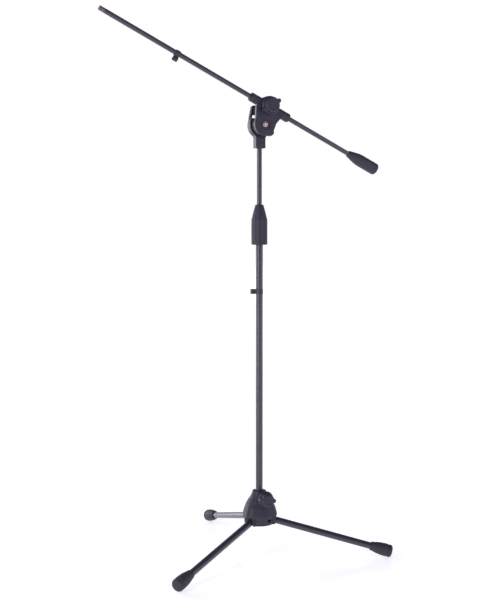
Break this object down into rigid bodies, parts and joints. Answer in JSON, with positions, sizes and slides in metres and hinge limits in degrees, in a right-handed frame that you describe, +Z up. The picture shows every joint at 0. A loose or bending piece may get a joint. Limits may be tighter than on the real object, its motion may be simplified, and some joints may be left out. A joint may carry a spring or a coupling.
{
  "type": "boom microphone stand",
  "caption": "Floor-standing microphone stand: folding tripod base, telescopic pole with twist clutch, tilting head and a sliding counterweighted boom.",
  "frame": {"origin": "on the floor, under the middle of the rest pose's bounding box; the pole axis stands at x = +0.046390 m, y = -0.088872 m", "axes": "+Z up; the boom lies along X with its microphone end towards -X and raised; the knobs face -Y and one leg points along +Y"},
  "size_m": [0.841, 0.5772, 1.4838],
  "materials": {
    "tube_paint": "satin black powder coat",
    "moulded": "fine matte moulded texture",
    "casting": "black painted die casting",
    "rubber": "matte black rubber",
    "dark_plastic": "plain dark plastic",
    "bright_steel": "zinc plated",
    "black_steel": "black oxide",
    "brass_cap": "copper-toned brass",
    "stud_metal": "dull brownish plating",
    "friction_fibre": "pressed fibre"
  },
  "bodies": {
    "base": {"base_housing": "moulded", "base_top_ring": "dark_plastic", "base_clamp_shoe": "dark_plastic", "leg_bolt_1": "black_steel", "leg_nut_1": "black_steel", "leg_bolt_2": "black_steel", "leg_nut_2": "black_steel", "leg_bolt_3": "black_steel", "leg_nut_3": "black_steel"},
    "base_clamp": {"base_clamp_screw": "black_steel", "base_knob": "moulded"},
    "leg_1": {"leg_root_1": "dark_plastic", "leg_tube_1": "tube_paint", "foot_1": "rubber", "foot_pad_1": "rubber"},
    "leg_2": {"leg_root_2": "dark_plastic", "leg_tube_2": "tube_paint", "foot_2": "rubber", "foot_pad_2": "rubber"},
    "leg_3": {"leg_root_3": "dark_plastic", "leg_tube_3": "tube_paint", "foot_3": "rubber", "foot_pad_3": "rubber"},
    "pole": {"lower_tube": "tube_paint", "pole_end_plug": "dark_plastic", "clutch_bush": "dark_plastic", "clutch_collet": "dark_plastic"},
    "pole_clip": {"pole_clip": "dark_plastic"},
    "clutch": {"clutch_grip": "moulded"},
    "upper_pole": {"upper_tube": "tube_paint", "upper_tube_glide": "dark_plastic"},
    "head": {"head_yoke": "casting", "friction_washer": "friction_fibre", "tilt_rear_washer": "bright_steel"},
    "holder": {"boom_holder": "casting", "sleeve_bush_a": "dark_plastic", "sleeve_bush_b": "dark_plastic", "tilt_washer": "bright_steel", "tilt_bolt": "bright_steel", "tilt_bolt_cap": "brass_cap", "boom_clamp_shoe": "dark_plastic"},
    "tilt_lever": {"tilt_lever": "rubber"},
    "boom_clamp": {"boom_clamp_screw": "black_steel", "boom_clamp_knob": "moulded"},
    "boom": {"boom_tube": "tube_paint", "mic_stud": "stud_metal", "counterweight_core": "black_steel", "counterweight_grip": "moulded"},
    "boom_clip": {"boom_clip": "dark_plastic"}
  },
  "joints": [
    {"name": "pole_lift", "type": "slide", "parent": "base", "child": "pole", "axis": [0, 0, 1], "range_m": [0, 0.06]},
    {"name": "base_knob_turn", "type": "hinge", "parent": "base", "child": "base_clamp", "pos_m": [0.04639, -0.13887, 0.1655], "axis": [0, -1, 0], "continuous": true},
    {"name": "leg_fold_1", "type": "hinge", "parent": "base", "child": "leg_1", "pos_m": [0.02041, -0.10387, 0.103], "axis": [0.5, -0.866, 0], "range_deg": [0, 75.75]},
    {"name": "leg_fold_2", "type": "hinge", "parent": "base", "child": "leg_2", "pos_m": [0.07237, -0.10387, 0.103], "axis": [0.5, 0.866, 0], "range_deg": [0, 75.75]},
    {"name": "leg_fold_3", "type": "hinge", "parent": "base", "child": "leg_3", "pos_m": [0.04639, -0.05887, 0.103], "axis": [-1, 0, 0], "range_deg": [0, 75.75]},
    {"name": "pole_clip_slide", "type": "slide", "parent": "pole", "child": "pole_clip", "axis": [0, 0, 1], "range_m": [-0.3, 0.1]},
    {"name": "clutch_turn", "type": "hinge", "parent": "pole", "child": "clutch", "pos_m": [0.04639, -0.08887, 0.935], "axis": [0, 0, 1], "range_deg": [0, 120]},
    {"name": "height_slide", "type": "slide", "parent": "pole", "child": "upper_pole", "axis": [0, 0, 1], "range_m": [-0.145, 0.4]},
    {"name": "head_swivel", "type": "hinge", "parent": "upper_pole", "child": "head", "pos_m": [0.04639, -0.08887, 1.16], "axis": [0, 0, 1], "continuous": true},
    {"name": "boom_tilt", "type": "hinge", "parent": "head", "child": "holder", "pos_m": [0.04639, -0.11137, 1.21], "axis": [0, 1, 0], "range_deg": [-114.4, 65.6]},
    {"name": "tilt_lever_turn", "type": "hinge", "parent": "holder", "child": "tilt_lever", "pos_m": [0.04639, -0.06887, 1.21], "axis": [0, 1, 0], "continuous": true},
    {"name": "boom_knob_turn", "type": "hinge", "parent": "holder", "child": "boom_clamp", "pos_m": [0.05999, -0.13887, 1.26176], "axis": [0, -1, 0], "continuous": true},
    {"name": "boom_slide", "type": "slide", "parent": "holder", "child": "boom", "axis": [-0.9107, 0, 0.4131], "range_m": [-0.17, 0.2]},
    {"name": "boom_clip_slide", "type": "slide", "parent": "boom", "child": "boom_clip", "axis": [-0.9107, 0, 0.4131], "range_m": [-0.05, 0.15]}
  ]
}
